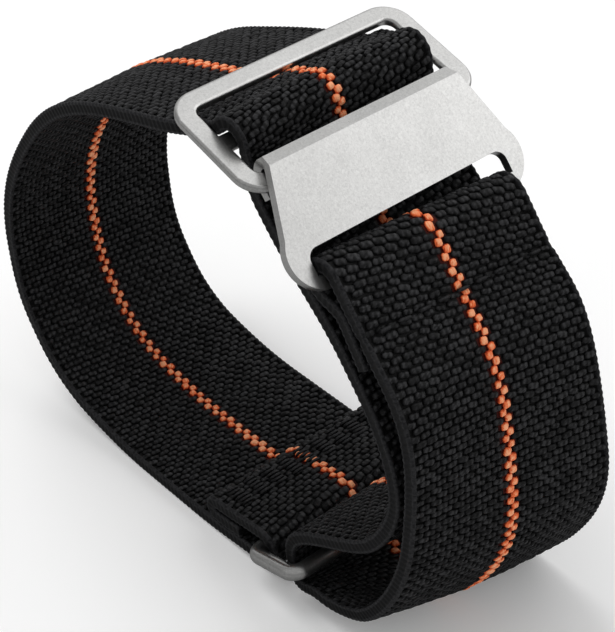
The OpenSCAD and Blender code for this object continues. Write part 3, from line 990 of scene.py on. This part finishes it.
def noise(tree, vector, scale=1.0, detail=2.0, distortion=0.0):
    feeds = {"Vector": vector, "Scale": scale, "Detail": detail, "Distortion": distortion}
    return Amount(add(tree, "ShaderNodeTexNoise", feeds)[0])


def mapped(tree, vector, **changes):
    return add(tree, "ShaderNodeMapping", {"Vector": vector, **changes})[0]


def raised(tree, shader, height, strength, distance):
    """Lets a pattern catch the light, as if it stood up from the surface."""
    feeds = {"Height": height, "Strength": strength, "Distance": distance * MM}
    feed(shader.inputs["Normal"], add(tree, "ShaderNodeBump", feeds)[0])


def tones(tree, amount, stops):
    made = tree.nodes.new("ShaderNodeValToRGB")
    feed(made.inputs[0], amount)
    elements = made.color_ramp.elements
    while len(elements) < len(stops):
        elements.new(0.5)
    for element, (at, colour) in zip(elements, stops):
        element.position = at
        element.color = (*colour, 1)
    return made.outputs[0]


def filaments(tree, twist):
    """Fine streaks along the yarn, between 0 and 1."""
    turned = mapped(tree, stored(tree, "yarn_way", "Vector"), Rotation=(0, 0, twist))
    return noise(tree, mapped(tree, turned, Scale=FILAMENT_SCALE))


print("filaments per millimetre", FILAMENT_SCALE)

# %% Black and orange yarn
YARN_GLOSS = 0.14
YARN_SHEEN = 0.02
YARN_SHEEN_ROUGHNESS = 0.4
FILAMENT_CONTRAST = 1.2
FILAMENT_DEPTH = 0.08
YARN_BUMP = 1.0
SHADE_CONTRAST = 0.25
YARN_DARKER = 0.72
GROOVE_W = 0.35
# Each tone ramp runs from a float's foot to its top: the foot's tone is painted shade, the top's a painted
# highlight.
BLACK_SHADE_TO_HIGHLIGHT = [(0.0, (0.002, 0.002, 0.0021)), (0.45, (0.005, 0.005, 0.0053)),
    (0.8, (0.015, 0.015, 0.016)), (1.0, (0.036, 0.036, 0.038))]
ORANGE_SHADE_TO_HIGHLIGHT = [(0.0, (0.012, 0.001, 0.0)), (0.35, (0.35, 0.028, 0.006)),
    (0.7, (0.89, 0.17, 0.05)), (1.0, (1.0, 0.44, 0.23))]


def yarn(name, stops, roughness, twist, furrow_shade_depth=0.0):
    material, tree, shader = new_material(name, Roughness=roughness, Specular_IOR_Level=YARN_GLOSS,
        Sheen_Weight=YARN_SHEEN, Sheen_Roughness=YARN_SHEEN_ROUGHNESS)
    streak = filaments(tree, twist)
    lift = Amount(stored(tree, "lift"))
    shade = Amount(stored(tree, "shade"))
    # A black float is darkened along its middle as painted shade, where its two strands meet.
    off_groove = calc("ABSOLUTE", Amount(stored(tree, "ply")))
    feeds = {"Value": off_groove, "From Min": 0.0, "From Max": GROOVE_W, "To Min": furrow_shade_depth, "To Max": 0.0}
    painted_furrow_shade = add(tree, "ShaderNodeMapRange", feeds)[0]
    # The lift paints shade at the foot and a highlight on top, and the streaks add fibre tone and small
    # painted glints.
    level = lift + streak * FILAMENT_CONTRAST + shade * SHADE_CONTRAST - YARN_DARKER - painted_furrow_shade
    feed(shader.inputs["Base Color"], tones(tree, level, stops))
    raised(tree, shader, streak, YARN_BUMP, FILAMENT_DEPTH)
    return material


black_yarn = yarn("black nylon yarn", BLACK_SHADE_TO_HIGHLIGHT, roughness=0.5, twist=0.5, furrow_shade_depth=0.45)
orange_yarn = yarn("orange yarn", ORANGE_SHADE_TO_HIGHLIGHT, roughness=0.6, twist=1.2)
print("yarns", black_yarn.name, "and", orange_yarn.name)

# %% Ground and edge yarn
GROUND_ROUGHNESS = 0.55
# The sheet is painted as in shade: black yarn darker than its own tone, and orange yarn under the stripe
# painted dark red.
GROUND_SHADED_TONE = (0.003, 0.003, 0.0032, 1)
UNDER_STRIPE_SHADED_TONE = (0.05, 0.003, 0.001, 1)
UNDER_STRIPE_HALF = 0.8
# The edge is one black yarn: its side face is painted darker as shade, and its cords lighter as a painted
# highlight.
SIDE_FACE_SHADE = [(0.3, (0.0015, 0.0015, 0.0018)), (0.75, (0.008, 0.008, 0.009))]
CORD_HIGHLIGHT = [(0.3, (0.005, 0.005, 0.006)), (0.7, (0.028, 0.028, 0.03))]
GROUND_BUMP = 0.5
GROUND_DEPTH = 0.05


def make_ground_material():
    material, tree, shader = new_material("ground and edge yarn", Roughness=GROUND_ROUGHNESS,
        Specular_IOR_Level=YARN_GLOSS, Sheen_Weight=YARN_SHEEN)
    _, y, z = parts_of(tree, stored(tree, "yarn_way", "Vector"))
    across = calc("ABSOLUTE", y)
    on_edge = calc("GREATER_THAN", across, EDGE_START)
    on_cord = calc("GREATER_THAN", calc("ABSOLUTE", z), CORD_Z - CORD_R / 2)
    under_stripe = calc("LESS_THAN", across, UNDER_STRIPE_HALF)
    streak = filaments(tree, 0.0)
    edge_shade_and_highlight = blended(tree, on_cord, tones(tree, streak, SIDE_FACE_SHADE), tones(tree, streak, CORD_HIGHLIGHT))
    plain = blended(tree, on_edge, GROUND_SHADED_TONE, edge_shade_and_highlight)
    feed(shader.inputs["Base Color"], blended(tree, under_stripe, plain, UNDER_STRIPE_SHADED_TONE))
    raised(tree, shader, streak, GROUND_BUMP, GROUND_DEPTH)
    return material


ground_yarn = make_ground_material()
print("ground", ground_yarn.name)

# %% [markdown]
# ## Weaving the strap
# The webbing is woven in lengths, because a mesh of every float would be too heavy in one piece.
# Rows are counted along the whole route, so the weave runs on from one length to the next. On the
# hump the bend pulls the rows apart, so they are set closer there. The stripe is of a thinner
# yarn that lies closer and stands a little higher, so the same tree weaves it with other sizes.
# The outer length crosses from the strap to the hook, so it is left where it lies and is joined
# to neither of them.

# %% Lengths of the webbing
LEFT_SPLIT = 0.45
widest_at = starts_at["left_run"] + length_of(left_route[:-1]) * LEFT_SPLIT
hook_seam_at = starts_at["hook_fold"] - HOOK_TAB_LEN + HOOK_SEAM_INSET
# Each length: its name, where it starts, and the construction's solids that it takes the place of.
lengths = [
    ("ring_end", 0, ["ring_tab", "ring_fold"]),
    ("lower_left", starts_at["left_run"], ["left_run"]),
    ("upper_left", widest_at, []),
    ("hump", starts_at["frame_pass"], ["frame_pass"]),
    ("inner", starts_at["inner_run"], ["inner_run"]),
    ("bottom", starts_at["bottom_turn"], ["bottom_turn"]),
    ("outer", starts_at["outer_run"], ["outer_run", "hook_fold", "hook_tab"])]
print(len(lengths), "lengths, the left run split at", round(widest_at, 1), "mm")

# %% Weave each length
HUMP_PITCH = 0.42
SPARE_ROWS = 2
HOOK_SEAM_PULL = 0.35
STRIPE_FLOAT_LEN = 0.76
STRIPE_FLOATS = {"Stripe only": True, "Rise": 0.37 * MM, "Slant": 0.1, "Closeness": 0.8,
    "Float width": 0.74 * MM}


def attach_webbing(piece, name):
    if name == "outer":
        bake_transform(piece)
    else:
        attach(piece, "strap")


def weave_length(name, start, end, nodes, rows, first_row):
    pitch = (end - start) / rows
    closer = pitch / ROW_PITCH
    before = SPARE_ROWS if start == 0 else 0
    after = SPARE_ROWS if end == webbing_len else 0
    common = {"Route": path}
    if name == "outer":
        common.update({"Seam at": hook_seam_at * MM, "Seam pull": HOOK_SEAM_PULL})
    woven = {"Start": (start - before * pitch) * MM, "Pitch": pitch * MM, "First row": first_row - before,
        "Rows": before + rows + after, "Last place": (webbing_len - END_CLEAR) * MM,
        "Float": float_shape, **common}
    weave = run_tree(weaving_tree, name + "_weave", {
        **woven, "Material": black_yarn, "Float length": FLOAT_LEN * closer * MM})
    stripe = run_tree(weaving_tree, name + "_stripe", {
        **woven, **STRIPE_FLOATS, "Material": orange_yarn, "Float length": STRIPE_FLOAT_LEN * closer * MM})
    ground = run_tree(ground_tree, name + "_ground", {
        "Start": start * MM, "End": end * MM, "Section": section, "Material": ground_yarn, **common})
    for piece in (weave, stripe, ground):
        attach_webbing(piece, name)
    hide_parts(*nodes)
    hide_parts(*[n + "_stripe" for n in nodes])
    return [len(piece.data.polygons) for piece in (weave, stripe, ground)]


first_row = SPARE_ROWS
ends = [start for _, start, _ in lengths[1:]] + [webbing_len]
for (name, start, nodes), end in zip(lengths, ends):
    rows = round((end - start) / (HUMP_PITCH if name == "hump" else ROW_PITCH))
    faces = weave_length(name, start, end, nodes, rows, first_row)
    first_row += rows
    print(name, round(end - start, 1), "mm,", rows, "rows, faces", faces)

# %% [markdown]
# ## The seams
# Both ends are sewn down with black thread across the webbing. A stitch is a short bar of thread
# that dips at both ends, so it is drawn flat as one bent bead and set in rows by a tree.

# %% One stitch
STITCH_SIDES = 8
STITCH_RINGS = 7
STITCH_DIP = 0.45
STITCH_TIP = 0.02


def make_stitch_shape():
    """A bar of thread along Y, one unit long and one thread thick, that dips at both ends."""
    verts = []
    for ring in range(STITCH_RINGS):
        t = ring / (STITCH_RINGS - 1) * 2 - 1
        radius = 0.5 * math.sqrt(max(1 - t**6, STITCH_TIP))
        for k in range(STITCH_SIDES):
            a = 2 * math.pi * k / STITCH_SIDES
            verts.append((radius * math.cos(a), t / 2, radius * math.sin(a) - STITCH_DIP * t**4))
    faces = [(a, d, c, b) for a, b, c, d in ring_faces(STITCH_RINGS, STITCH_SIDES)]
    last = len(verts) - STITCH_SIDES
    faces.append(tuple(range(STITCH_SIDES)))
    faces.append(tuple(last + k for k in reversed(range(STITCH_SIDES))))
    return new_shape("stitch", verts, faces, lift=[v[2] + 0.5 for v in verts])


stitch_shape = make_stitch_shape()
print("one stitch has", len(stitch_shape.data.polygons), "faces")

# %% Tree that sews a row
STITCHES = 9
STITCH_LEN = 1.5
STITCH_GAP = 0.5
STITCH_LEAN = 0.08
THREAD_W = 0.34


def make_stitching_tree():
    tree, given = new_tree("row of stitches", [
        ("Row at", "Float", 0.0), ("Height", "Float", HALF_T * MM), ("Stitch", "Object", None),
        ("Count", "Int", STITCHES), ("Pitch", "Float", (STITCH_LEN + STITCH_GAP) * MM),
        ("Length", "Float", STITCH_LEN * MM), ("Thickness", "Float", THREAD_W * MM),
        ("Material", "Material", None), ("Seed", "Int", 5)] + LAYING_INPUTS)
    points = add(tree, "GeometryNodePoints", {"Count": given["Count"]})[0]
    index = Amount(add(tree, "GeometryNodeInputIndex", {})[0])
    y = (index - (given["Count"] - 1.0) / 2.0) * given["Pitch"]
    flat = vector_of(tree, X=given["Row at"], Y=y, Z=given["Height"])
    placed = add(tree, "GeometryNodeSetPosition", {"Geometry": points, "Position": flat})[0]
    lean = random_amount(tree, given["Seed"], -STITCH_LEAN, STITCH_LEAN)
    turned_over = calc("LESS_THAN", given["Height"], 0.0) * math.pi
    sewn = add(tree, "GeometryNodeInstanceOnPoints", {
        "Points": placed, "Instance": shape_of(tree, given["Stitch"]),
        "Rotation": vector_of(tree, X=turned_over, Z=lean),
        "Scale": vector_of(tree, X=given["Thickness"], Y=given["Length"], Z=given["Thickness"])})[0]
    finish_flat_work(tree, given, add(tree, "GeometryNodeRealizeInstances", {0: sewn})[0])
    return tree


stitching_tree = make_stitching_tree()
print(stitching_tree.name, "has", len(stitching_tree.nodes), "nodes")

# %% Sew both ends
# The thread's tones follow its lift: painted shade where it dips and a painted highlight on top.
THREAD_SHADE_TO_HIGHLIGHT = [(0.0, (0.001, 0.001, 0.001)), (0.5, (0.006, 0.006, 0.0065)), (1.0, (0.026, 0.026, 0.028))]
THREAD_PROUD = 0.02
HOOK_OUTSIDE_SUNK = 0.04
HOOK_INSIDE_SUNK = 0.05
RING_SEAM_ROWS = 6
RING_SEAM_PITCH = 0.52
RING_SEAM_INSET = 0.35
sewing_thread = yarn("black sewing thread", THREAD_SHADE_TO_HIGHLIGHT, roughness=0.42, twist=1.0)


def sew_row(name, at, height, body):
    row = run_tree(stitching_tree, name, {"Route": path, "Row at": at * MM, "Height": height * MM,
        "Stitch": stitch_shape, "Material": sewing_thread})
    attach(row, body)
    return row


outside = sew_row("hook_seam_outside", hook_seam_at, HOOK_OUTSIDE_SUNK - HALF_T, "hook")
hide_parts("hook_seam")
sew_row("hook_seam_inside", webbing_len - HOOK_SEAM_INSET, HOOK_INSIDE_SUNK - HALF_T, "hook")
for row in range(RING_SEAM_ROWS):
    from_fold = RING_TAB_LEN - RING_SEAM_INSET - RING_SEAM_PITCH * row
    under_at = starts_at["left_run"] + from_fold
    under = sew_row(f"ring_seam_under_{row + 1}", under_at, HALF_T + THREAD_PROUD, "strap")
    tab_at = starts_at["ring_fold"] - from_fold
    sew_row(f"ring_seam_tab_{row + 1}", tab_at, HALF_T + THREAD_PROUD, "strap")
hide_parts("ring_seam")
print("seams sewn,", 2 * RING_SEAM_ROWS + 2, "rows of", STITCHES)

# %% [markdown]
# ## The steel
# The hardware is stainless steel with a satin finish, and its shapes come from the construction.
# Noises make the finish: long fine lines change how sharply it mirrors, and a grain over soft
# clouds changes its tone. They read Object coordinates, so they stay on the steel as it moves.

# %% Satin steel
STEEL_TONES = [(0.34, (0.6, 0.598, 0.588)), (0.5, (0.69, 0.687, 0.675)), (0.66, (0.77, 0.767, 0.755))]
BRUSHED_WAY = (0.3, 0.9, 0.4)
BRUSH_SCALE = (900, 9000, 9000)
CLOUD_SCALE = 260.0
GRAIN_SCALE = 5200.0
GRAIN_DISTORTION = 0.8
GRAIN_SHARE = 0.75
LEAST_ROUGH = 0.24
LINE_ROUGH = 0.12
LINE_HEIGHT = 0.4
STEEL_BUMP = 0.35
STEEL_DEPTH = 0.012


def make_steel():
    material, tree, shader = new_material("satin stainless steel", Metallic=1.0)
    place = add(tree, "ShaderNodeTexCoord", {})["Object"]
    lines = noise(tree, mapped(tree, place, Rotation=BRUSHED_WAY, Scale=BRUSH_SCALE), detail=4.0)
    cloud = noise(tree, place, CLOUD_SCALE, detail=3.0)
    grain = noise(tree, place, GRAIN_SCALE, detail=3.0, distortion=GRAIN_DISTORTION)
    worn = grain * GRAIN_SHARE + cloud * (1 - GRAIN_SHARE)
    feed(shader.inputs["Base Color"], tones(tree, worn, STEEL_TONES))
    feed(shader.inputs["Roughness"], lines * LINE_ROUGH + LEAST_ROUGH)
    raised(tree, shader, lines * LINE_HEIGHT + grain, STEEL_BUMP, STEEL_DEPTH)
    return material


satin_steel = make_steel()
print(satin_steel.name, "has", len(satin_steel.node_tree.nodes), "nodes")

# %% [markdown]
# ## Finishing the hardware
# A part from the construction is loose triangles, so a copy of each is merged and its flat faces
# made whole. The frame and the ring come with round edges. The plate's edges are broken here, as
# tumbling does on the real part, because a broken edge catches a thin bright line and a sharp one
# looks like a drawing. In the photograph the frame has slid a little on the webbing to its far
# side, so its copy is moved there.

# %% Finished copies of the hardware
MERGE = 0.0005
FLAT_ANGLE = math.radians(1)
EDGE_ANGLE = math.radians(30)
EDGE_STEPS = 4
PLATE_EDGE_R = 0.3
FRAME_SLID = 0.6


def finish_steel(node_name, body, edge_r=0, slid=0):
    piece_name = "satin_" + node_name
    mesh = frame["nodes"][node_name].data.copy()
    mesh.name = piece_name
    mesh.materials.clear()
    mesh.materials.append(satin_steel)
    work = bmesh.new()
    work.from_mesh(mesh)
    bmesh.ops.remove_doubles(work, verts=work.verts, dist=MERGE * MM)
    bmesh.ops.dissolve_limit(work, angle_limit=FLAT_ANGLE, verts=work.verts, edges=work.edges)
    bmesh.ops.recalc_face_normals(work, faces=work.faces)
    work.to_mesh(mesh)
    work.free()
    mesh.transform(Matrix.Translation((0, slid * MM, 0)))
    mesh.shade_smooth()
    piece = new_object(piece_name, mesh)
    if edge_r:
        bevel = piece.modifiers.new("broken edges", "BEVEL")
        bevel.width = edge_r * MM
        bevel.segments = EDGE_STEPS
        bevel.limit_method = "ANGLE"
        bevel.angle_limit = EDGE_ANGLE
    piece.modifiers.new("even shading", "WEIGHTED_NORMAL")
    graph = bpy.context.evaluated_depsgraph_get()
    piece.data = bpy.data.meshes.new_from_object(piece.evaluated_get(graph))
    piece.data.name = piece_name
    piece.modifiers.clear()
    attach(piece, body)
    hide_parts(node_name)
    print(piece_name, len(piece.data.polygons), "faces")


finish_steel("slide_frame", "frame", slid=FRAME_SLID)
finish_steel("hook_plate", "hook", edge_r=PLATE_EDGE_R)
finish_steel("adjuster_ring", "ring")

# %% [markdown]
# ## Putting the tools away
# The route, the section and the shapes that the trees copied are tools and not pieces of the
# strap, so they are removed.

# %% Clear the bench and finish
for tool in (path, section, float_shape, stitch_shape):
    bpy.data.objects.remove(tool)
